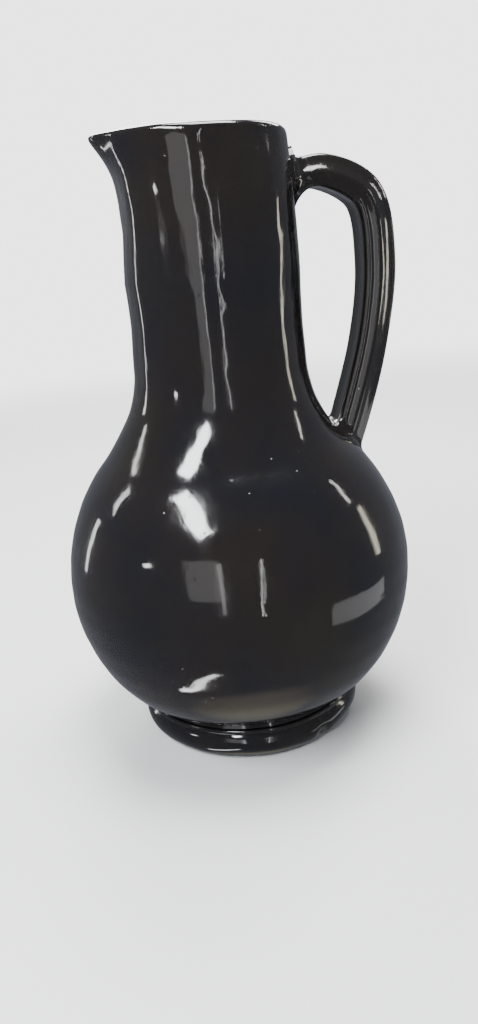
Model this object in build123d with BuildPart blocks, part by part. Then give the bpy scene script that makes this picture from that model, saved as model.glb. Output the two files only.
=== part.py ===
"""Black clay pitcher.

A turned foot ring, a belly thrown in two halves, a tall neck with a pulled pouring
lip, and a strap handle. The pieces are scored, slipped and pressed together before firing.
Origin: centre of the resting plane. +Z up, +X towards the handle, -X towards the lip.
"""
import os
from math import asin, atan2, cos, degrees, radians, sin, sqrt

from build123d import *

os.makedirs("parts", exist_ok=True)

# ---------------------------------------------------------------- sizes (mm)
overall_height = 280.0        # resting plane to the rim
wall = 5.5                    # thickness of the thrown walls
slip = 0.6                    # layer of fired slip in a joint

foot_height = 18.8            # resting plane to the belly's underside
foot_radius = 56.4            # outside, at the fullest part of the ring
foot_ring_width = 11.5        # radial thickness of the ring
foot_rest_inset = 6.5         # the resting face, in from the fullest part
foot_chamfer = 2.5            # inner edge of the resting face
bead_height = 3.0             # bead round the top of the ring
bead_inset = 1.8              # the groove above and below the bead, in from the fullest part
seat_radius = 54.0            # where the belly's outside meets the ring
seat_depth = 3.0              # boss under the belly, sunk into the ring's bore
floor_thickness = 8.0         # clay under the hollow, boss included

belly_radius = 84.8           # widest outside radius
belly_rise_share = 0.7276     # widest place above the foot, as a share of its radius
low_curve_share = 1.0377      # flat curve just below it, as a share of the same radius
low_turn_share = 0.2948       # where it turns in above the foot, as a share of that radius
shoulder_radius = 60.0        # hollow curve from belly to neck

neck_radius = 38.5            # outside
neck_waist = 0.5              # how far the neck narrows half way up
neck_seam_drop = 18.0         # the neck joint, below the start of the straight neck

rim_taper = 1.3               # how far the neck closes in at the rim
lip_length = 58.0             # height over which the throat and the lip are pressed out
lip_reach = 8.0               # how far the lip stands out beyond the neck
lip_throat = 2.5              # how far the throat under the lip is pressed in
lip_half_angle = 42.0         # half the arc of the rim that the lip takes up (degrees)
lip_keel = 7.0                # half width of the lip just behind its tip
lip_keel_share = 0.6          # how much of the reach the lip has at that width
rim_round = 1.5               # rounding of the rim's edges

tongue_height = 1.4           # ridge on a lower rim, for the joint
tongue_share = 0.25           # width of the ridge, as a share of the wall

handle_width = 20.0           # across, side to side
handle_thickness = 17.0       # from the finger side to the back
root_width = 18.0             # the strap is smaller where it leaves the neck
root_thickness = 12.5
corner_round = 2.3            # rounding of the ridges along the strap
finger_gap = 34.5             # widest gap between neck and handle
upper_root_drop = 20.0        # centre of the upper root, below the rim
lower_root_angle = 43.5       # height of the lower root on the belly's curve (degrees)
root_overlap = 8.0            # strap run past the surface before it is trimmed to it
collar_spread = 3.0           # soft clay worked out round a root
upper_collar_length = 10.0    # how far it is smoothed along the strap
lower_collar_length = 11.0
collar_sink = 4.0             # how far it starts inside the surface before it is trimmed
collar_taper = 0.85           # its far end against the strap's section, so it runs out inside
web_length = 12.0             # point of clay drawn down the neck under the upper root

# ------------------------------------------------- places worked out from them
belly_height = foot_height + belly_rise_share * belly_radius
low_curve_radius = low_curve_share * belly_radius
low_turn_height = low_turn_share * belly_radius
low_centre = belly_radius - low_curve_radius
low_turn_angle = asin((belly_height - foot_height - low_turn_height) / low_curve_radius)
low_normal = Vector(cos(low_turn_angle), -sin(low_turn_angle))
low_turn = Vector(low_centre, belly_height) + low_normal * low_curve_radius
seat_chord = Vector(seat_radius, foot_height) - low_turn
seat_curve_radius = -seat_chord.dot(seat_chord) / (2 * seat_chord.dot(low_normal))
seat_curve_centre = low_turn - low_normal * seat_curve_radius
shoulder_centre = neck_radius + shoulder_radius
neck_start = belly_height + sqrt((belly_radius + shoulder_radius) ** 2 - shoulder_centre**2)
turn_angle = degrees(atan2(neck_start - belly_height, shoulder_centre))
neck_seam = neck_start - neck_seam_drop
lip_start = overall_height - lip_length
foot_bore = foot_radius - foot_ring_width
foot_seat = foot_height - slip
boss_bottom = foot_height - seat_depth
boss_radius = foot_bore - slip
floor_top = boss_bottom + floor_thickness
belly_joint_radius = belly_radius - wall / 2
neck_joint_radius = shoulder_centre - sqrt((shoulder_radius + wall / 2) ** 2 - neck_seam_drop**2)


# ---------------------------------------------------------------- shared shapes
def side_curves(inset, low):
    """Belly, shoulder and neck outline, moved in by inset, from a height below the belly."""
    seat_arc = seat_curve_radius - inset
    turn = -degrees(low_turn_angle)
    start = degrees(asin((low - seat_curve_centre.Y) / seat_arc))
    bottom = CenterArc(seat_curve_centre, seat_arc, start, turn - start)
    CenterArc((low_centre, belly_height), low_curve_radius - inset, turn, -turn)
    CenterArc((0, belly_height), belly_radius - inset, 0, turn_angle)
    CenterArc(
        (shoulder_centre, neck_start), shoulder_radius + inset, 180 + turn_angle, -turn_angle
    )
    neck_line = ThreePointArc(
        (neck_radius - inset, neck_start),
        (neck_radius - neck_waist - inset, (neck_start + lip_start) / 2),
        (neck_radius - inset, lip_start),
    )
    Polyline(neck_line @ 1, (0, lip_start), (0, low), bottom @ 0)


def turned_solid(inset, low):
    """Everything inside the outline, from low up to the start of the lip."""
    with BuildPart() as turned:
        with BuildSketch(Plane.XZ):
            with BuildLine():
                side_curves(inset, low)
            make_face()
        revolve(axis=Axis.Z)
    return turned.part


def lip_curves(inset, rise, pull):
    """Plan of the neck part way up the lip, drawn out or pressed in by pull on the -X side."""
    radius = neck_radius - rim_taper * rise**2 - inset
    reach = neck_radius - inset + pull
    side_x = -radius * cos(radians(lip_half_angle))
    side_y = radius * sin(radians(lip_half_angle))
    CenterArc((0, 0), radius, 180 + lip_half_angle, 360 - 2 * lip_half_angle)
    if pull == 0:
        CenterArc((0, 0), radius, 180 - lip_half_angle, 2 * lip_half_angle)
    else:
        keel_y = side_y + (lip_keel - side_y) * abs(pull) / lip_reach
        keel_x = -sqrt(radius**2 - keel_y**2) - lip_keel_share * (reach - radius)
        Spline(
            (side_x, side_y),
            (keel_x, keel_y),
            (-reach, 0),
            (keel_x, -keel_y),
            (side_x, -side_y),
            tangents=((-side_y, side_x), (side_y, side_x)),
        )


def lip_solid(inset):
    """Top of the neck, pressed in to a throat and drawn out to the pouring lip."""
    stages = (
        (0, 0),
        (0.25, -0.6 * lip_throat),
        (0.5, -lip_throat),
        (0.75, 0.12 * lip_reach),
        (1, lip_reach),
    )
    with BuildPart() as pulled:
        for rise, pull in stages:
            with BuildSketch(Plane.XY.offset(lip_start + rise * lip_length)):
                with BuildLine():
                    lip_curves(inset, rise, pull)
                make_face()
        loft()
    return pulled.part


def joint_ring(radius, seam, clearance):
    """Ridge that stands on a lower rim; with a clearance, the groove that takes it."""
    width = tongue_share * wall + 2 * clearance
    with BuildPart() as ridge:
        with BuildSketch(Plane.XY.offset(seam - slip / 2)):
            Circle(radius + width / 2)
            Circle(radius - width / 2, mode=Mode.SUBTRACT)
        extrude(amount=tongue_height + clearance)
    return ridge.part


def strap_section(plane, width, thickness, finger_share=0.36, web=0):
    """Soft six-sided section, narrow along the back, with a web under its finger side."""
    finger_side = finger_share * width
    with BuildSketch(plane) as section:
        with BuildLine():
            Polyline(
                (finger_side, -0.5 * thickness - web),
                (0.5 * width, -0.1 * thickness),
                (0.2 * width, 0.5 * thickness),
                (-0.2 * width, 0.5 * thickness),
                (-0.5 * width, -0.1 * thickness),
                (-finger_side, -0.5 * thickness - web),
                close=True,
            )
        make_face()
        fillet(section.vertices(), radius=corner_round)
    return section.sketch


outside = turned_solid(0, foot_height)
hollow = turned_solid(wall, floor_top)
lip_outside = lip_solid(0)
lip_hollow = lip_solid(wall)
belly_tongue = joint_ring(belly_joint_radius, belly_height, 0)
belly_groove = joint_ring(belly_joint_radius, belly_height, slip)
neck_tongue = joint_ring(neck_joint_radius, neck_seam, 0)
neck_groove = joint_ring(neck_joint_radius, neck_seam, slip)

# ------------------------------------------------------------------ foot ring
with BuildPart() as foot_ring:
    bead_top = foot_seat - bead_inset / 2
    bead_base = bead_top - bead_height
    with BuildSketch(Plane.XZ):
        with BuildLine():
            body = ThreePointArc(
                (foot_radius - foot_rest_inset, 0),
                (foot_radius - foot_rest_inset / 10, bead_base * 0.35),
                (foot_radius - bead_inset, bead_base),
            )
            bead = ThreePointArc(
                body @ 1,
                (foot_radius - bead_inset / 2, bead_base + bead_height / 2),
                (foot_radius - bead_inset, bead_top),
            )
            Polyline(
                bead @ 1,
                (seat_radius - bead_inset / 2, foot_seat),
                (foot_bore, foot_seat),
                (foot_bore, foot_chamfer),
                (foot_bore + foot_chamfer, 0),
                body @ 0,
            )
        make_face()
    revolve(axis=Axis.Z)
foot_ring.part.label = "foot_ring"
export_step(foot_ring.part, "parts/foot_ring.step")

# ----------------------------------------- slip between the ring and the belly
with BuildPart() as foot_slip:
    with BuildSketch(Plane.XZ):
        with BuildLine():
            Polyline(
                (foot_bore, foot_seat),
                (seat_radius - bead_inset / 2, foot_seat),
                (seat_radius - bead_inset / 2, foot_height),
                (boss_radius, foot_height),
                (boss_radius, boss_bottom),
                (foot_bore, boss_bottom),
                close=True,
            )
        make_face()
    revolve(axis=Axis.Z)
foot_slip.part.label = "foot_slip"
export_step(foot_slip.part, "parts/foot_slip.step")

# ------------------------------------------------------ lower half of the belly
with BuildPart() as belly_bowl:
    add(outside)
    add(hollow, mode=Mode.SUBTRACT)
    split(bisect_by=Plane.XY.offset(belly_height - slip / 2), keep=Keep.BOTTOM)
    with BuildSketch(Plane.XY.offset(boss_bottom)):
        Circle(boss_radius)
    extrude(amount=seat_depth)
    add(belly_tongue)
belly_bowl.part.label = "belly_bowl"
export_step(belly_bowl.part, "parts/belly_bowl.step")

# ------------------------------------------------- slip in the belly's joint
with BuildPart() as belly_slip:
    add(outside)
    add(hollow, mode=Mode.SUBTRACT)
    split(bisect_by=Plane.XY.offset(belly_height + slip / 2), keep=Keep.BOTTOM)
    split(bisect_by=Plane.XY.offset(belly_height - slip / 2), keep=Keep.TOP)
    add(belly_groove)
    add(belly_tongue, mode=Mode.SUBTRACT)
belly_slip.part.label = "belly_slip"
export_step(belly_slip.part, "parts/belly_slip.step")

# ------------------------------------------------------ upper half of the belly
with BuildPart() as belly_shoulder:
    add(outside)
    add(hollow, mode=Mode.SUBTRACT)
    split(bisect_by=Plane.XY.offset(neck_seam - slip / 2), keep=Keep.BOTTOM)
    split(bisect_by=Plane.XY.offset(belly_height + slip / 2), keep=Keep.TOP)
    add(belly_groove, mode=Mode.SUBTRACT)
    add(neck_tongue)
belly_shoulder.part.label = "belly_shoulder"
export_step(belly_shoulder.part, "parts/belly_shoulder.step")

# ---------------------------------------------------- slip in the neck's joint
with BuildPart() as neck_slip:
    add(outside)
    add(hollow, mode=Mode.SUBTRACT)
    split(bisect_by=Plane.XY.offset(neck_seam + slip / 2), keep=Keep.BOTTOM)
    split(bisect_by=Plane.XY.offset(neck_seam - slip / 2), keep=Keep.TOP)
    add(neck_groove)
    add(neck_tongue, mode=Mode.SUBTRACT)
neck_slip.part.label = "neck_slip"
export_step(neck_slip.part, "parts/neck_slip.step")

# ---------------------------------------------- neck, rim and pulled pouring lip
with BuildPart() as neck:
    add(outside)
    split(bisect_by=Plane.XY.offset(neck_seam + slip / 2), keep=Keep.TOP)
    add(lip_outside)
    add(hollow, mode=Mode.SUBTRACT)
    add(lip_hollow, mode=Mode.SUBTRACT)
    add(neck_groove, mode=Mode.SUBTRACT)
    fillet(neck.edges().group_by(Axis.Z)[-1], radius=rim_round)
neck.part.label = "neck"
export_step(neck.part, "parts/neck.step")

# --------------------------------------------------------------------- handle
upper_root = Vector(neck_radius, 0, overall_height - upper_root_drop)
root_normal = Vector(cos(radians(lower_root_angle)), 0, sin(radians(lower_root_angle)))
lower_root = Vector(0, 0, belly_height) + root_normal * belly_radius
rise = upper_root.Z - lower_root.Z
back = neck_radius + finger_gap + handle_thickness / 2

with BuildPart() as handle:
    with BuildLine(Plane.XZ) as spine:
        Spline(
            (upper_root.X - root_overlap, upper_root.Z - 0.01 * rise),
            (upper_root.X + 0.4 * (back - upper_root.X), upper_root.Z + 0.026 * rise),
            (back - 0.28 * handle_thickness, upper_root.Z - 0.07 * rise),
            (back, upper_root.Z - 0.31 * rise),
            (lower_root.X + 0.72 * (back - lower_root.X), lower_root.Z + 0.37 * rise),
            (lower_root.X, lower_root.Z),
            (lower_root.X - 0.4 * root_overlap, lower_root.Z - root_overlap),
        )
    path = spine.edge()
    sections = [
        strap_section(
            Plane(origin=path @ place, x_dir=(0, 1, 0), z_dir=path % place),
            root_width + (handle_width - root_width) * share,
            root_thickness + (handle_thickness - root_thickness) * share,
        )
        for place, share in ((0, 0), (0.2, 0.5), (0.4, 1), (0.6, 1), (0.8, 1), (1, 1))
    ]
    sweep(sections=sections, path=path, multisection=True)
    add(outside, mode=Mode.SUBTRACT)
    add(lip_outside, mode=Mode.SUBTRACT)
handle.part.label = "handle"
export_step(handle.part, "parts/handle.step")

# ------------------------------------------ soft clay worked round the two roots
with BuildPart() as upper_handle_collar:
    into_strap = Vector(1, 0, 0)
    wall_plane = Plane(
        origin=upper_root - into_strap * collar_sink, x_dir=(0, 1, 0), z_dir=into_strap
    )
    strap_plane = Plane(
        origin=upper_root + into_strap * upper_collar_length, x_dir=(0, 1, 0), z_dir=into_strap
    )
    loft(
        sections=[
            strap_section(
                wall_plane,
                root_width + 2 * collar_spread,
                root_thickness + 2 * collar_spread,
                finger_share=0.12,
                web=web_length,
            ),
            strap_section(
                strap_plane, collar_taper * root_width, collar_taper * root_thickness
            ),
        ]
    )
    add(handle.part, mode=Mode.SUBTRACT)
    add(outside, mode=Mode.SUBTRACT)
    add(lip_outside, mode=Mode.SUBTRACT)
upper_handle_collar.part.label = "upper_handle_collar"
export_step(upper_handle_collar.part, "parts/upper_handle_collar.step")

with BuildPart() as lower_handle_collar:
    collar_end = 1 - (root_overlap + lower_collar_length) / path.length
    into_strap = (path % collar_end) * -1
    down_wall = Vector(root_normal.Z, 0, -root_normal.X)
    wall_plane = Plane(
        origin=lower_root - root_normal * collar_sink + down_wall * collar_spread / 3,
        x_dir=(0, -1, 0),
        z_dir=root_normal,
    )
    strap_plane = Plane(origin=path @ collar_end, x_dir=(0, -1, 0), z_dir=into_strap)
    loft(
        sections=[
            strap_section(
                wall_plane,
                handle_width + 2 * collar_spread,
                handle_thickness / root_normal.dot(into_strap) + 2 * collar_spread,
            ),
            strap_section(
                strap_plane, collar_taper * handle_width, collar_taper * handle_thickness
            ),
        ]
    )
    add(handle.part, mode=Mode.SUBTRACT)
    add(outside, mode=Mode.SUBTRACT)
lower_handle_collar.part.label = "lower_handle_collar"
export_step(lower_handle_collar.part, "parts/lower_handle_collar.step")
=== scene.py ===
"""Black clay pitcher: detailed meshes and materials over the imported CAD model."""
from math import atan2, cos, pi, radians, sin, sqrt

import bmesh
import bpy
import numpy as np
from mathutils import Matrix, Vector


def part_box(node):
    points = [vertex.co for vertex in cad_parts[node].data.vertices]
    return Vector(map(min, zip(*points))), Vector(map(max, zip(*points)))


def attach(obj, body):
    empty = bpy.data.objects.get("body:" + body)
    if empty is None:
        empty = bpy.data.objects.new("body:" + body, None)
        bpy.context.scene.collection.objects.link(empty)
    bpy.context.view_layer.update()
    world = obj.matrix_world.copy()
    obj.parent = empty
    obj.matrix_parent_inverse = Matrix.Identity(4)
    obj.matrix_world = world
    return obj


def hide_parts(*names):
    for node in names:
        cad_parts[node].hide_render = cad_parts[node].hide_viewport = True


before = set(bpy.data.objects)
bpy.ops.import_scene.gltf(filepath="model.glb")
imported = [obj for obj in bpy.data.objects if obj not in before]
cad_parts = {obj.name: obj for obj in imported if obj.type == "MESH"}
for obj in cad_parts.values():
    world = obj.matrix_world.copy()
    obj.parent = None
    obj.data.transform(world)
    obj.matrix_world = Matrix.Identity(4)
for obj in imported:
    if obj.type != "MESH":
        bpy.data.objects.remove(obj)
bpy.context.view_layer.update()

MM = 0.001

# ------------------------------------------------------------ sizes from the CAD
foot_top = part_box("foot_ring")[1]
bowl_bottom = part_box("belly_bowl")[0]
neck_bottom, neck_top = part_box("neck")

foot_radius = foot_top.x / MM
foot_seat = foot_top.z / MM
boss_bottom = bowl_bottom.z / MM
overall_height = neck_top.z / MM
neck_seam = neck_bottom.z / MM
neck_radius = neck_top.y / MM    # of its flared lower end, 2.7 mm more than the straight neck

# ------------------------------------------- curves of the clay, in millimetres
BELLY_HEIGHT = 80.5           # of the widest place, where the two halves meet
BELLY_RADIUS = 84.8
WALL = 5.5
LOW_CURVE_RADIUS = 88.0       # flat curve below the widest place
LOW_TURN_HEIGHT = 25.0        # where it turns in, above the foot
FOOT_HEIGHT = 18.8
SEAT_RADIUS = 54.0            # where the belly meets the foot
BOSS_RADIUS = 44.3            # under the belly, in the foot's bore
SHOULDER_RADIUS = 60.0        # hollow curve from belly to neck
NECK_WAIST = 0.5              # how far the neck narrows half way up
FLOOR_TOP = 23.8
LIP_START = 222.0             # height at which the throat and the lip begin

OUTER_STEP = 1.6              # between rings of points
INNER_STEP = 3.0
ROUND_STEP = 0.5              # between rings on the bead and the rim
CLOSEST = 0.05                # rings nearer than this to a cut are dropped
SEGMENTS = 208                # points in a ring


# ------------------------------------------------------------- the body's outline
def arc(centre, radius, start, end, step):
    """Points along an arc in the (radius, height) plane."""
    count = max(3, int(abs(end - start) * radius / step) + 1)
    angles = np.linspace(start, end, count)
    return np.column_stack((centre[0] + radius * np.cos(angles),
                            centre[1] + radius * np.sin(angles)))


low_centre = BELLY_RADIUS - LOW_CURVE_RADIUS
low_turn = np.arcsin((BELLY_HEIGHT - FOOT_HEIGHT - LOW_TURN_HEIGHT) / LOW_CURVE_RADIUS)
low_normal = np.array((cos(low_turn), -sin(low_turn)))
turn_point = np.array((low_centre, BELLY_HEIGHT)) + low_normal * LOW_CURVE_RADIUS
seat_chord = np.array((SEAT_RADIUS, FOOT_HEIGHT)) - turn_point
seat_arc_radius = -seat_chord.dot(seat_chord) / (2 * seat_chord.dot(low_normal))
seat_centre = turn_point - low_normal * seat_arc_radius
shoulder_centre = neck_radius + SHOULDER_RADIUS
neck_start = BELLY_HEIGHT + sqrt((BELLY_RADIUS + SHOULDER_RADIUS) ** 2 - shoulder_centre**2)
shoulder_turn = atan2(neck_start - BELLY_HEIGHT, shoulder_centre)


def side(inset, low, step):
    """Outline of belly, shoulder and neck from a low height to the start of the lip."""
    seat_radius = seat_arc_radius - inset
    start = np.arcsin((low - seat_centre[1]) / seat_radius)
    neck_z = np.linspace(neck_start, LIP_START, int((LIP_START - neck_start) / step) + 2)
    waist = np.sin(pi * (neck_z - neck_start) / (LIP_START - neck_start))
    return np.vstack((
        arc(seat_centre, seat_radius, start, -low_turn, step),
        arc((low_centre, BELLY_HEIGHT), LOW_CURVE_RADIUS - inset, -low_turn, 0, step)[1:-1],
        arc((0, BELLY_HEIGHT), BELLY_RADIUS - inset, 0, shoulder_turn, step)[1:],
        arc((shoulder_centre, neck_start), SHOULDER_RADIUS + inset,
            pi + shoulder_turn, pi, step)[1:],
        np.column_stack((neck_radius - inset - NECK_WAIST * waist, neck_z))[1:],
    ))


def cut(outline, low, high):
    """The part of an outline between two heights, with a point on each of them."""
    heights = outline[:, 1]
    inside = outline[(heights > low + CLOSEST) & (heights < high - CLOSEST)]
    ends = [(np.interp(z, heights, outline[:, 0]), z) for z in (low, high)]
    return np.vstack((ends[0], inside, ends[1]))


outer_side = side(0, FOOT_HEIGHT, OUTER_STEP)
inner_side = side(WALL, FLOOR_TOP, INNER_STEP)


def outside_radius(height):
    """Outside radius of belly and neck at a height, lip left out."""
    return np.interp(height, outer_side[:, 1], outer_side[:, 0])


# ----------------------------------------------------------- marks of the hand work
def smooth_step(x, low, high):
    """0 below low, 1 above high, smooth between them."""
    t = np.clip((x - low) / (high - low), 0, 1)
    return t * t * (3 - 2 * t)


NECK_MARKS = (150, 185)       # heights over which the belly's marks give way to the neck's
LIP_SIDE_PRESSED = (172, 205)              # and over which the lip side is pressed in,
LIP_SIDE_RELEASED = (240, 262)             # and let out again
QUIET_FOOT = 12               # above the foot, marks fade in over this height


def hand_marks(angle, height):
    """How far the surface stands off its true curve, in mm: facets, dents and ripples.

    Each term has its depth, its count of waves round the pot, and lengths along the height.
    """
    neck = smooth_step(height, *NECK_MARKS)
    facets = (0.17 * np.sin(9 * angle + 0.9 * np.sin(height / 31))
              + 0.11 * np.sin(14 * angle + 1.7 + 0.5 * np.sin(height / 27 + 1))
              + 0.035 * np.sin(23 * angle + 0.6 + 0.7 * np.sin(height / 23)))
    along = 0.035 * np.sin(height / 6.5 + 2 * np.sin(2 * angle)) * np.sin(3 * angle + 1)
    along += (0.028 * np.sin(height / 2.4 + 5 * np.sin(3 * angle))
              * np.sin(17 * angle + height / 11))
    along += (0.020 * np.sin(height / 3.7 - 7 * np.sin(2 * angle + 1))
              * np.sin(26 * angle + 2))
    belly = (0.22 * np.sin(3 * angle + height / 29)
             + 0.16 * np.sin(5 * angle - height / 17 + 2)
             + 0.07 * np.sin(8 * angle + height / 9)
             + 0.05 * np.sin(13 * angle - height / 7 + 1))
    wheel = 0.05 * np.sin(height / 1.9 + 0.8 * np.sin(angle))
    quiet_foot = smooth_step(height, FOOT_HEIGHT, FOOT_HEIGHT + QUIET_FOOT)

    # Pressed in along the neck on the lip side, and fuller where the shoulder ends.
    lip_side = np.clip(-np.cos(angle), 0, 1) ** 1.5
    pressed = (smooth_step(height, *LIP_SIDE_PRESSED)
               * (1 - smooth_step(height, *LIP_SIDE_RELEASED)))
    full = np.exp(-((height - 151) / 10) ** 2) - 0.6 * np.exp(-((height - 178) / 11) ** 2)
    return (neck * (facets + along) + (1 - 0.7 * neck) * (belly + wheel) * quiet_foot
            + lip_side * (1.4 * full - 1.9 * pressed))


# --------------------------------------------------------------------- mesh making
SHARP_ANGLE = radians(48)     # edges sharper than this are not shaded smooth


def tidy_mesh(mesh):
    """Joins points that meet on the axis, turns the faces outwards, and marks sharp edges."""
    work = bmesh.new()
    work.from_mesh(mesh)
    bmesh.ops.remove_doubles(work, verts=work.verts, dist=1e-6)
    bmesh.ops.recalc_face_normals(work, faces=work.faces)
    work.to_mesh(mesh)
    work.free()
    mesh.shade_smooth()
    mesh.set_sharp_from_angle(angle=SHARP_ANGLE)


def add_piece(name, rings, closed_loop, standing_for, caps=False):
    """A piece from rings of points in millimetres; rings[i][j] joins on to its neighbours."""
    count, around = rings.shape[:2]
    vertices = rings.reshape(-1, 3) * MM
    rows = count if closed_loop else count - 1
    i, j = np.meshgrid(np.arange(rows), np.arange(around), indexing="ij")
    above, beside = (i + 1) % count, (j + 1) % around
    faces = np.stack((i * around + j, i * around + beside,
                      above * around + beside, above * around + j), axis=-1).reshape(-1, 4)
    faces = faces.tolist()
    if caps:
        faces.append(list(range(around))[::-1])
        faces.append([(count - 1) * around + k for k in range(around)])
    mesh = bpy.data.meshes.new(name)
    mesh.from_pydata(vertices.tolist(), [], faces)
    piece = bpy.data.objects.new(name, mesh)
    bpy.context.collection.objects.link(piece)
    tidy_mesh(mesh)
    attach(piece, "root")
    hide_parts(*standing_for)
    return piece


def turned(name, outer, rest, standing_for, plan=None):
    """A turned piece: the marked outer outline, then the rest of its closed section."""
    angles = np.linspace(0, 2 * pi, SEGMENTS, endpoint=False)
    section = np.vstack((outer, rest))
    rings = np.zeros((len(section), SEGMENTS, 3))
    for row, (radius, height) in enumerate(section):
        here = np.full(SEGMENTS, radius)
        if row < len(outer):
            here = here + hand_marks(angles, height)
        rings[row] = np.column_stack((here * np.cos(angles), here * np.sin(angles),
                                      np.full(SEGMENTS, height)))
    if plan is not None:
        rings = plan(rings, angles)
    return add_piece(name, rings, True, standing_for)


# ------------------------------------------------------------------------ foot ring
FOOT_BORE = 44.9
BEAD_TOP, BEAD_BASE = 1.2, 4.4               # down from the ring's top
BEAD_CENTRE, GROOVE = 2.5, 2.4               # in from the fullest radius
SWELL = ((0.7, 2.6), (0.0, 6.0), (0.9, 9.6), (3.4, 12.4))   # in from it, down from the bead
SWELL_RINGS = 22
TOP_EDGE = 0.9                               # the ring's top, in from where the belly sits
SOLE_EDGE, SOLE_FLAT = 6.8, 9.0              # in from it, where the rounded base ends
BORE_EDGE = ((2.5, 0.0), (0.7, 0.8), (0.0, 2.5))            # out from the bore, up
CHIP_ANGLE, CHIP_HEIGHT = radians(-66), 4.5
CHIP_DEPTH, CHIP_SPREAD = 2.2, 0.055
CHIP_TURN = 60.0                             # mm of height that count as one radian


def smooth_path(points, count):
    """A smooth curve through points, sampled evenly in parameter (centripetal spans)."""
    spans = np.sqrt(np.linalg.norm(np.diff(points, axis=0), axis=1))
    knots = np.concatenate(([0], np.cumsum(spans)))
    slopes = np.gradient(points, knots, axis=0)
    where = np.linspace(0, knots[-1], count)
    k = np.clip(np.searchsorted(knots, where, side="right") - 1, 0, len(points) - 2)
    width = (knots[k + 1] - knots[k])[:, None]
    t = ((where - knots[k])[:, None]) / width
    return ((2 * t**3 - 3 * t**2 + 1) * points[k] + (t**3 - 2 * t**2 + t) * width * slopes[k]
            + (3 * t**2 - 2 * t**3) * points[k + 1] + (t**3 - t**2) * width * slopes[k + 1])


def foot_section():
    """Top edge, bead, groove and swelling ring with a rounded base; then sole and bore."""
    bead_top, bead_base = foot_seat - BEAD_TOP, foot_seat - BEAD_BASE
    swell = [(foot_radius - GROOVE, bead_base),
             *((foot_radius - inset, bead_base - drop) for inset, drop in SWELL),
             (foot_radius - SOLE_EDGE, 0.0)]
    outer = np.vstack((
        [(SEAT_RADIUS - TOP_EDGE, FOOT_HEIGHT)],
        arc((foot_radius - BEAD_CENTRE, (bead_top + bead_base) / 2),
            (bead_top - bead_base) / 2, pi / 2, -pi / 2, ROUND_STEP),
        smooth_path(np.array(swell), SWELL_RINGS)[1:],
    ))
    rest = np.array([(foot_radius - SOLE_FLAT, 0.0),
                     *((FOOT_BORE + out, up) for out, up in BORE_EDGE),
                     (FOOT_BORE, FOOT_HEIGHT)])
    return outer, rest


def foot_plan(rings, angles):
    """Hand-worked unevenness and the small chip in the foot's lower edge."""
    for row in rings:
        radius = np.hypot(row[:, 0], row[:, 1])
        if radius[0] < FOOT_BORE + 5:      # the bore is left true
            continue
        height = row[0, 2]
        worn = 0.18 * np.sin(4 * angles + 1) + 0.10 * np.sin(11 * angles + height / 3)
        away = np.hypot((angles - CHIP_ANGLE + pi) % (2 * pi) - pi,
                        (height - CHIP_HEIGHT) / CHIP_TURN)
        chip = CHIP_DEPTH * np.exp(-(away / CHIP_SPREAD) ** 2)
        scale = (radius + worn * (height > 0.1) - chip) / radius
        row[:, :2] *= scale[:, None]
    return rings


# ------------------------------------------------------------------- neck and lip
LIP_HALF_ARC = radians(46)
BEAK_HALF_ARC = radians(11)   # the narrow point of the lip
BEAK_START, BEAK_SHARE = 0.7, 0.62
LIP_LIFT = 2.5                # the tip stands above the rest of the rim
LIFT_HALF_ARC = radians(78)
RIM_TAPER = 1.3               # how far the neck closes in at the rim, twice that at the handle
RIM_ROUND = 2.4               # height of the rim's rounding
RIM_THINNING = 0.2            # of each half of the wall there
RIM_INSIDE, INSIDE_STEP = 4.0, 2.5         # below the rim, first ring inside and the next
# How far up the lip, and how far it stands out (or is pressed in) there.
LIP_STAGES = np.array([(0, 0), (0.22, -1.2), (0.45, -2.7), (0.62, -3.5), (0.74, -2.2),
                       (0.84, 0.7), (0.93, 4.6), (1, 8.0)])


def lip_pull(rise):
    """How far the lip stands out from the neck, from its start (0) to the rim (1)."""
    slopes = np.gradient(LIP_STAGES[:, 1], LIP_STAGES[:, 0])
    k = min(int(np.searchsorted(LIP_STAGES[:, 0], rise, side="right")) - 1,
            len(LIP_STAGES) - 2)
    (x0, y0), (x1, y1) = LIP_STAGES[k], LIP_STAGES[k + 1]
    t = (rise - x0) / (x1 - x0)
    return ((2 * t**3 - 3 * t**2 + 1) * y0 + (t**3 - 2 * t**2 + t) * (x1 - x0) * slopes[k]
            + (3 * t**2 - 2 * t**3) * y1 + (t**3 - t**2) * (x1 - x0) * slopes[k + 1])


def lip_plan(rings, angles):
    """Presses the throat in and draws the lip out on the -X side."""
    from_lip = np.abs(angles - pi)
    wide = np.clip(1 - from_lip / LIP_HALF_ARC, 0, 1)
    fan = wide**2 * (3 - 2 * wide)
    beak = np.exp(-(from_lip / BEAK_HALF_ARC) ** 2)
    lifted = smooth_step(1 - from_lip / LIFT_HALF_ARC, 0, 1)
    handle_side = 0.5 + 0.5 * np.cos(angles)
    for row in rings:
        height = row[0, 2]
        if height <= LIP_START:
            continue
        rise = min((height - LIP_START) / (overall_height - LIP_START), 1)
        pull = lip_pull(rise)
        sharp = smooth_step(rise, BEAK_START, 1.0)
        shape = (1 - sharp) * fan + sharp * (BEAK_SHARE * beak + (1 - BEAK_SHARE) * fan)
        radius = np.hypot(row[:, 0], row[:, 1])
        moved = radius + pull * shape - RIM_TAPER * (1 + handle_side) * rise**2
        row[:, :2] *= (moved / radius)[:, None]
        uneven = 0.30 * np.sin(2 * angles + 0.6) + 0.16 * np.sin(5 * angles)
        row[:, 2] += rise**3 * (LIP_LIFT * lifted + uneven * (1 - lifted))
    return rings


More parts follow.
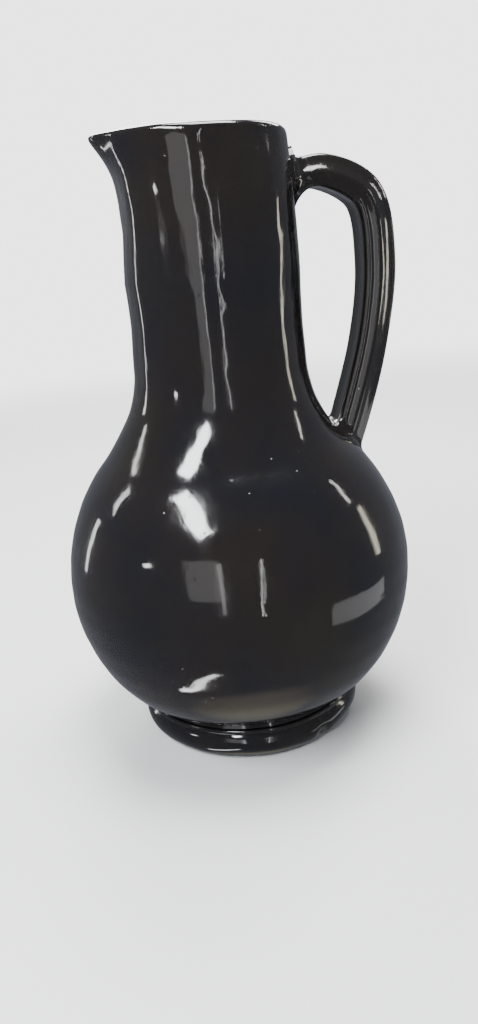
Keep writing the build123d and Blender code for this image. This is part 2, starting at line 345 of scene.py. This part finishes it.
def neck_section():
    """Outside up to the rounded rim; then down the inside to the joint."""
    heights = np.arange(LIP_START + OUTER_STEP, overall_height - RIM_ROUND, OUTER_STEP)
    outer = np.vstack((cut(outer_side, neck_seam, LIP_START),
                       np.column_stack((np.full(len(heights), neck_radius), heights))))
    half_wall = WALL / 2 - RIM_THINNING
    middle = neck_radius - half_wall
    rim = arc((middle, overall_height - RIM_ROUND), RIM_ROUND, 0, pi, ROUND_STEP)
    rim[:, 0] = middle + (rim[:, 0] - middle) * half_wall / RIM_ROUND
    down = np.arange(overall_height - RIM_INSIDE, LIP_START, -INSIDE_STEP)
    inner = np.column_stack((np.full(len(down), neck_radius - WALL), down))
    lower = cut(inner_side, neck_seam, LIP_START)[::-1]
    return outer, np.vstack((rim, inner, lower))


# --------------------------------------------------------------------- handle strap
UPPER_ROOT_Z = overall_height - 20.0
# The strap's middle as (x, z), from the neck to the shoulder.
HANDLE_SPINE = np.array([(33.5, 258.0), (40.5, 260.6), (55.7, 262.4), (76.4, 251.4),
                         (81.6, 222.5), (76.2, 183.7), (61.8, 138.9), (57.6, 128.6)])
STRAP_WIDTH, STRAP_THICKNESS = 20.0, 17.0
ROOT_WIDTH, ROOT_THICKNESS = 18.0, 12.5
RIDGE_ROUND = 2.6             # rounding of the long ridges
UPPER_FILLET, LOWER_FILLET = 6.5, 3.5      # clay smoothed round the roots
UPPER_WEB, LOWER_WEB = 11.0, 6.0           # and on their finger side
WEB_TAPER = 0.12              # how a web narrows towards its point
SIDE_HOLLOW = 0.35            # how far each side of the strap is hollowed
STRAP_CORNERS = ((0.36, -0.5), (0.5, -0.1), (0.2, 0.5),
                 (-0.2, 0.5), (-0.5, -0.1), (-0.36, -0.5))
SPINE_RINGS = 300
RIDGE_POINTS, SIDE_POINTS = 7, (0.2, 0.4, 0.6, 0.8)        # on a ridge; along a side
ROOT_GROWTH = (0.02, 0.42)    # the part of the strap over which it reaches full size
UPPER_CUT, LOWER_CUT = 44, 258             # the rings where the collars end


def section_outline():
    """Unit section of the strap, six ridged sides, as (across, outwards) points."""
    corners = np.array(STRAP_CORNERS) * (STRAP_WIDTH, STRAP_THICKNESS)
    points = []
    for k, corner in enumerate(corners):
        back = corners[k - 1] - corner
        ahead = corners[(k + 1) % len(corners)] - corner
        back, ahead = back / np.linalg.norm(back), ahead / np.linalg.norm(ahead)
        half = np.arccos(np.clip(back.dot(ahead), -1, 1)) / 2
        reach = RIDGE_ROUND / np.tan(half)
        start, end = corner + back * reach, corner + ahead * reach
        for t in np.linspace(0, 1, RIDGE_POINTS):
            points.append((1 - t) ** 2 * start + 2 * t * (1 - t) * corner + t**2 * end)
        far = corners[(k + 1) % len(corners)] - ahead * reach
        for t in SIDE_POINTS:
            hollow = SIDE_HOLLOW * sin(pi * t)
            inward = -(end + far) / 2
            points.append(end + (far - end) * t + hollow * inward / np.linalg.norm(inward))
    return np.array(points) / (STRAP_WIDTH, STRAP_THICKNESS)


def body_surface(points):
    """Distance of points from the outside of neck and belly, and the way out from it."""
    around = np.hypot(points[..., 0], points[..., 1])
    on_neck = around - outside_radius(np.minimum(points[..., 2], LIP_START))
    from_middle = points - np.array((0.0, 0.0, BELLY_HEIGHT))
    on_belly = np.linalg.norm(from_middle, axis=-1) - BELLY_RADIUS
    upper = points[..., 2] > neck_start
    way = np.where(upper[..., None], points * (1.0, 1.0, 0.0), from_middle)
    way = way / np.linalg.norm(way, axis=-1)[..., None]
    return np.where(upper, on_neck, on_belly), way


def strap_rings():
    """Rings of points along the whole handle, flared where it meets neck and belly."""
    spine = smooth_path(HANDLE_SPINE, SPINE_RINGS)
    ahead = np.gradient(spine, axis=0)
    ahead /= np.linalg.norm(ahead, axis=1)[:, None]
    section = section_outline()
    place = np.linspace(0, 1, len(spine))
    full = smooth_step(place, *ROOT_GROWTH)
    rings = np.zeros((len(spine), len(section), 3))
    for i, (point, (dx, dz)) in enumerate(zip(spine, ahead)):
        width = ROOT_WIDTH + (STRAP_WIDTH - ROOT_WIDTH) * full[i]
        thick = ROOT_THICKNESS + (STRAP_THICKNESS - ROOT_THICKNESS) * full[i]
        wave = 1 + 0.012 * sin(17 * place[i] + 1) + 0.010 * sin(31 * place[i])
        across = section[:, 0] * width * wave
        out = section[:, 1] * thick * (1 + 0.015 * sin(23 * place[i] + 2))
        outwards = np.array((-dz, 0.0, dx))
        ring = (np.array((point[0], 0.0, point[1])) + out[:, None] * outwards
                + across[:, None] * np.array((0.0, 1.0, 0.0)))
        rings[i] = ring + fillet_push(ring, across, out, point, outwards)
    return rings


def fillet_push(ring, across, out, point, outwards):
    """How far each point of a ring slides along the body, in the clay round a root."""
    upper = point[1] > (UPPER_ROOT_Z + BELLY_HEIGHT) / 2
    finger = smooth_step(-out / (0.5 * ROOT_THICKNESS), 0, 1)
    plain, web = (UPPER_FILLET, UPPER_WEB) if upper else (LOWER_FILLET, LOWER_WEB)
    radius = plain + (web - plain) * finger
    gap, way_out = body_surface(ring)
    near = np.clip(gap / radius, 0, 1)
    push = radius * (1 - np.sqrt(1 - (1 - near) ** 2))
    spread = across * (1 - WEB_TAPER * push * finger)
    length = np.hypot(across, out)
    shift = (out / length * push)[:, None] * outwards
    shift = shift + (spread / length * push)[:, None] * np.array((0.0, 1.0, 0.0))
    return shift - (shift * way_out).sum(axis=1)[:, None] * way_out


# ------------------------------------------------------------------------ materials
FLECK_TINT = (0.030, 0.022, 0.016, 1)
RUBBED_TINT = (0.060, 0.050, 0.042, 1)
NECK_STROKES_FROM, NECK_STROKES_FULL = 0.160, 0.190     # heights, in metres


def new_material(name):
    """An empty node material, its tree and its shader."""
    material = bpy.data.materials.new(name)
    material.use_nodes = True
    tree = material.node_tree
    shader = tree.nodes["Principled BSDF"]
    return material, tree, shader


def make_node(tree, kind, links=(), **values):
    """A node with its properties or sockets set, and links as (socket, output)."""
    made = tree.nodes.new(kind)
    for key, value in values.items():
        if hasattr(made, key):
            setattr(made, key, value)
        else:
            made.inputs[key.replace("_", " ")].default_value = value
    for socket, output in links:
        tree.links.new(output, made.inputs[socket])
    return made


def ramp(tree, source, stops):
    """A colour ramp over a source, with stops as (place, colour)."""
    made = make_node(tree, "ShaderNodeValToRGB", [("Fac", source)])
    elements = made.color_ramp.elements
    for element, (place, colour) in zip(elements, stops[:2]):
        element.position, element.color = place, (*colour, 1)
    for place, colour in stops[2:]:
        elements.new(place).color = (*colour, 1)
    return made.outputs["Color"]


def grey(value):
    """A grey as a colour without alpha."""
    return (value, value, value)


def mix_colour(tree, factor, first, second):
    """A mix of two colours; each input is a socket or a value."""
    made = make_node(tree, "ShaderNodeMix", data_type="RGBA")
    for socket, value in ((0, factor), (6, first), (7, second)):
        if hasattr(value, "links"):
            tree.links.new(value, made.inputs[socket])
        else:
            made.inputs[socket].default_value = value
    return made.outputs[2]


def neck_streaks(tree, place):
    """Long upright strokes of the burnishing stone, on the neck only."""
    drawn = make_node(tree, "ShaderNodeMapping", [("Vector", place)], Scale=(1, 1, 0.07))
    strokes = make_node(tree, "ShaderNodeTexNoise", [("Vector", drawn.outputs[0])],
                        Scale=130.0, Detail=3.0, Distortion=0.4)
    height = make_node(tree, "ShaderNodeSeparateXYZ", [("Vector", place)]).outputs["Z"]
    on_neck = make_node(tree, "ShaderNodeMapRange", [("Value", height)],
                        interpolation_type="SMOOTHSTEP",
                        From_Min=NECK_STROKES_FROM, From_Max=NECK_STROKES_FULL)
    return make_node(tree, "ShaderNodeMath",
                     [(0, strokes.outputs["Fac"]), (1, on_neck.outputs[0])],
                     operation="MULTIPLY").outputs[0]


def glaze(name, blue, brown, olive, gloss, stretch, worn):
    """Glossy burnished black clay: tint, smears, flecks, pinholes, ripple, rubbed ridges.

    gloss is the clear areas' roughness, stretch scales the ripple along each axis, and worn is
    how far the ridges are rubbed.
    """
    material, tree, shader = new_material(name)
    place = make_node(tree, "ShaderNodeTexCoord").outputs["Object"]
    along = make_node(tree, "ShaderNodeMapping", [("Vector", place)], Scale=stretch).outputs[0]
    cloud = make_node(tree, "ShaderNodeTexNoise", [("Vector", place)], Scale=19.0, Detail=5.0)
    grain = make_node(tree, "ShaderNodeTexNoise", [("Vector", place)], Scale=420.0, Detail=3.0)
    smear = make_node(tree, "ShaderNodeTexNoise", [("Vector", along)], Scale=60.0, Detail=6.0)
    pits = make_node(tree, "ShaderNodeTexVoronoi", [("Vector", place)], Scale=115.0)
    flecks = make_node(tree, "ShaderNodeTexVoronoi", [("Vector", place)], Scale=290.0)

    tint = ramp(tree, cloud.outputs["Fac"], [(0.34, blue), (0.58, brown), (0.72, olive)])
    tint = mix_colour(tree, ramp(tree, flecks.outputs["Distance"],
                                 [(0.04, grey(0.75)), (0.10, grey(0.0))]),
                      tint, FLECK_TINT)
    edge = make_node(tree, "ShaderNodeNewGeometry").outputs["Pointiness"]
    rubbed = ramp(tree, edge, [(0.52, grey(0.0)), (0.60, grey(worn))])
    patchy = make_node(tree, "ShaderNodeMath", [(0, rubbed), (1, smear.outputs["Fac"])],
                       operation="MULTIPLY")
    tint = mix_colour(tree, patchy.outputs[0], tint, RUBBED_TINT)
    tree.links.new(tint, shader.inputs["Base Color"])

    film = make_node(tree, "ShaderNodeMapRange", [("Value", smear.outputs["Fac"])],
                     From_Min=0.35, From_Max=0.75, To_Min=gloss, To_Max=gloss + 0.10)
    rough = make_node(tree, "ShaderNodeMath", [(0, film.outputs[0]), (1, patchy.outputs[0])],
                      operation="ADD")
    tree.links.new(rough.outputs[0], shader.inputs["Roughness"])

    ripple = make_node(tree, "ShaderNodeTexNoise", [("Vector", along)], Scale=55.0, Detail=2.0)
    soft = make_node(tree, "ShaderNodeBump", [("Height", ripple.outputs["Fac"])],
                     Strength=0.35, Distance=0.0009)
    stroke = make_node(tree, "ShaderNodeTexNoise", [("Vector", along)], Scale=210.0, Detail=4.0)
    strokes = make_node(tree, "ShaderNodeBump",
                        [("Height", stroke.outputs["Fac"]), ("Normal", soft.outputs[0])],
                        Strength=0.22, Distance=0.0004)
    streaks = make_node(tree, "ShaderNodeBump",
                        [("Height", neck_streaks(tree, place)), ("Normal", strokes.outputs[0])],
                        Strength=0.5, Distance=0.0005)
    fine = make_node(tree, "ShaderNodeBump",
                     [("Height", grain.outputs["Fac"]), ("Normal", streaks.outputs[0])],
                     Strength=0.06, Distance=0.0003)
    hole = ramp(tree, pits.outputs["Distance"], [(0.03, grey(0.0)), (0.09, grey(1.0))])
    pitted = make_node(tree, "ShaderNodeBump", [("Height", hole), ("Normal", fine.outputs[0])],
                       Strength=0.45, Distance=0.0003)
    tree.links.new(pitted.outputs[0], shader.inputs["Normal"])
    shader.inputs["IOR"].default_value = 1.52
    shader.inputs["Coat Weight"].default_value = 0.6
    shader.inputs["Coat Roughness"].default_value = 0.03
    return material


def dress(piece, material):
    """Gives a piece its material."""
    piece.data.materials.clear()
    piece.data.materials.append(material)


# --------------------------------------------------------------------- the pieces
body_glaze = glaze("burnished_black_belly",
                   blue=(0.0042, 0.0050, 0.0078), brown=(0.0090, 0.0066, 0.0056),
                   olive=(0.0105, 0.0098, 0.0062), gloss=0.055, stretch=(1, 1, 0.4), worn=0.0)
strap_glaze = glaze("burnished_black_strap",
                    blue=(0.0048, 0.0050, 0.0066), brown=(0.0080, 0.0060, 0.0050),
                    olive=(0.0100, 0.0072, 0.0056), gloss=0.065, stretch=(1, 1, 0.45), worn=0.35)
foot_glaze = glaze("burnished_black_foot",
                   blue=(0.0050, 0.0052, 0.0068), brown=(0.0090, 0.0070, 0.0058),
                   olive=(0.0110, 0.0100, 0.0070), gloss=0.075, stretch=(1, 1, 1), worn=0.60)

foot_outer, foot_rest = foot_section()
foot = turned("foot_ring_turned", foot_outer, foot_rest, ("foot_ring", "foot_slip"), foot_plan)
dress(foot, foot_glaze)

bowl_outer = cut(outer_side, FOOT_HEIGHT, BELLY_HEIGHT)
bowl_inner = cut(inner_side, FLOOR_TOP, BELLY_HEIGHT)[::-1]
bowl_base = np.array([(0, FLOOR_TOP), (0, boss_bottom), (BOSS_RADIUS, boss_bottom),
                      (BOSS_RADIUS, FOOT_HEIGHT)])
bowl = turned("belly_bowl_thrown", bowl_outer, np.vstack((bowl_inner, bowl_base)),
              ("belly_bowl", "belly_slip"))
dress(bowl, body_glaze)

shoulder_outer = cut(outer_side, BELLY_HEIGHT, neck_seam)
shoulder_inner = cut(inner_side, BELLY_HEIGHT, neck_seam)[::-1]
shoulder = turned("belly_shoulder_thrown", shoulder_outer, shoulder_inner,
                  ("belly_shoulder", "neck_slip"))
dress(shoulder, body_glaze)

neck_outer, neck_rest = neck_section()
neck = turned("neck_with_lip", neck_outer, neck_rest, ("neck",), lip_plan)
dress(neck, body_glaze)

rings = strap_rings()
for name, part, nodes in (
    ("handle_upper_root", rings[:UPPER_CUT + 1], ("upper_handle_collar",)),
    ("handle_strap", rings[UPPER_CUT:LOWER_CUT + 1], ("handle",)),
    ("handle_lower_root", rings[LOWER_CUT:], ("lower_handle_collar",)),
):
    dress(add_piece(name, part, False, nodes, caps=True), strap_glaze)


# ---------------------------------------------------------------- floor and lights
FLOOR_SIDES = 96
AIM_HEIGHT = 0.13                   # the panels face this height, in metres
FLOOR_BOUNCE = (0.62, 0.59, 0.48)   # light off the floor, seen in the gloss under the belly


def fading_floor(radius, fade_start):
    """A pale disc under the pitcher that fades into the pale background."""
    angles = np.linspace(0, 2 * pi, FLOOR_SIDES, endpoint=False)
    mesh = bpy.data.meshes.new("floor")
    mesh.from_pydata([(radius * cos(a), radius * sin(a), 0) for a in angles], [],
                     [list(range(len(angles)))])
    floor = bpy.data.objects.new("floor", mesh)
    bpy.context.collection.objects.link(floor)
    material, tree, shader = new_material("pale_floor")
    place = make_node(tree, "ShaderNodeTexCoord").outputs["Object"]
    far = make_node(tree, "ShaderNodeVectorMath", [(0, place)], operation="LENGTH")
    fade = make_node(tree, "ShaderNodeMapRange", [("Value", far.outputs["Value"])],
                     interpolation_type="SMOOTHSTEP", From_Min=fade_start, From_Max=radius,
                     To_Min=1.0, To_Max=0.0)
    tree.links.new(fade.outputs[0], shader.inputs["Alpha"])
    shader.inputs["Base Color"].default_value = (0.92, 0.92, 0.91, 1)
    shader.inputs["Roughness"].default_value = 0.75
    mesh.materials.append(material)
    floor.visible_glossy = False       # FLOOR_BOUNCE stands for it in the gloss


def softbox(name, azimuth, elevation, distance, size, power, spin=0.0, colour=(1, 1, 1)):
    """A soft panel that faces the belly; its angles are in degrees from +X and from level."""
    aim = Vector((0, 0, AIM_HEIGHT))
    a, e = radians(azimuth), radians(elevation)
    away = Vector((cos(a) * cos(e), sin(a) * cos(e), sin(e)))
    data = bpy.data.lights.new(name, "AREA")
    data.shape = "RECTANGLE"
    data.size, data.size_y = size
    data.energy = power
    data.color = colour
    lamp = bpy.data.objects.new(name, data)
    lamp.matrix_world = (Matrix.Translation(aim + away * distance)
                         @ away.to_track_quat("Z", "Y").to_matrix().to_4x4()
                         @ Matrix.Rotation(radians(spin), 4, "Z"))
    lamp.visible_camera = False
    bpy.context.collection.objects.link(lamp)


def pale_world(camera_grey, room_tint):
    """A pale background for the camera; the room that the gloss reflects is dimmer."""
    world = bpy.data.worlds.new("studio")
    bpy.context.scene.world = world
    world.use_nodes = True
    tree = world.node_tree
    tree.nodes.clear()
    seen = make_node(tree, "ShaderNodeLightPath").outputs["Is Camera Ray"]
    facing = make_node(tree, "ShaderNodeTexCoord").outputs["Generated"]
    height = make_node(tree, "ShaderNodeSeparateXYZ", [("Vector", facing)]).outputs["Z"]
    lifted = make_node(tree, "ShaderNodeMapRange", [("Value", height)], From_Min=-1.0,
                       From_Max=1.0, To_Min=0.0, To_Max=1.0).outputs[0]
    below = ramp(tree, lifted, [(0.0, FLOOR_BOUNCE), (0.045, room_tint)])
    room = make_node(tree, "ShaderNodeBackground", [("Color", below)], Strength=1.0)
    shown = make_node(tree, "ShaderNodeBackground", Color=(*grey(camera_grey), 1), Strength=1.0)
    mixed = make_node(tree, "ShaderNodeMixShader",
                      [(0, seen), (1, room.outputs[0]), (2, shown.outputs[0])])
    out = make_node(tree, "ShaderNodeOutputWorld")
    tree.links.new(mixed.outputs[0], out.inputs["Surface"])


def set_camera(distance, height, turn, yaw, pitch, roll, lens):
    """Camera at the photograph's viewing angle: near, above the middle and held tilted.

    turn moves it round the pitcher; yaw, pitch and roll are its own turns, all in radians.
    """
    ahead = Vector((sin(yaw) * cos(pitch), cos(yaw) * cos(pitch), -sin(pitch)))
    level = Vector((cos(yaw), -sin(yaw), 0))
    upright = level.cross(ahead)
    right = cos(roll) * level + sin(roll) * upright
    up = cos(roll) * upright - sin(roll) * level
    axes = Matrix((right, up, -ahead)).transposed().to_4x4()
    data = bpy.data.cameras.new("camera")
    data.lens, data.sensor_width = lens, 36.0
    data.clip_start = 0.01
    camera = bpy.data.objects.new("camera", data)
    camera.matrix_world = (Matrix.Rotation(-turn, 4, "Z")
                           @ Matrix.Translation((0, -distance, height)) @ axes)
    bpy.context.collection.objects.link(camera)
    bpy.context.scene.camera = camera


fading_floor(radius=1.6, fade_start=0.7)
softbox("key_panel", -138, 46, 1.0, (0.62, 0.17), 14, spin=-40, colour=(0.95, 0.98, 1))
softbox("neck_panel", -124, 9, 1.3, (0.46, 0.62), 0.8, spin=4)
softbox("neck_glow", -114, 6, 1.25, (0.05, 0.62), 0.35)
softbox("neck_streak", -90, 4, 1.2, (0.025, 0.7), 0.45)
softbox("table_glint", -143, -55, 1.0, (0.44, 0.05), 0.9, spin=20)
softbox("small_lamp", -163, 11, 1.2, (0.10, 0.07), 0.5, spin=25)
softbox("table_patch", -22, -25, 1.1, (0.80, 0.17), 0.42, spin=6)
softbox("side_panel", -3, 2, 1.2, (0.08, 0.42), 0.7, colour=(1, 0.93, 0.76))
softbox("side_upper_panel", -8, 27, 1.2, (0.05, 0.30), 0.5, colour=(1, 0.97, 0.92))
softbox("back_panel", 92, 38, 1.3, (0.5, 0.6), 12)
softbox("rear_streak", 143, 2, 1.3, (0.08, 0.46), 0.9)
softbox("rear_upper_streak", 150, 27, 1.3, (0.10, 0.28), 0.8)
softbox("far_panel", 40, 40, 1.3, (0.35, 0.5), 6)
softbox("top_panel", 20, 82, 1.6, (0.9, 0.9), 46)
pale_world(3.2, (0.185, 0.195, 0.22))
set_camera(distance=0.3642, height=0.2270, turn=radians(12),
           yaw=0.00694, pitch=0.31727, roll=-0.09724, lens=26.71)
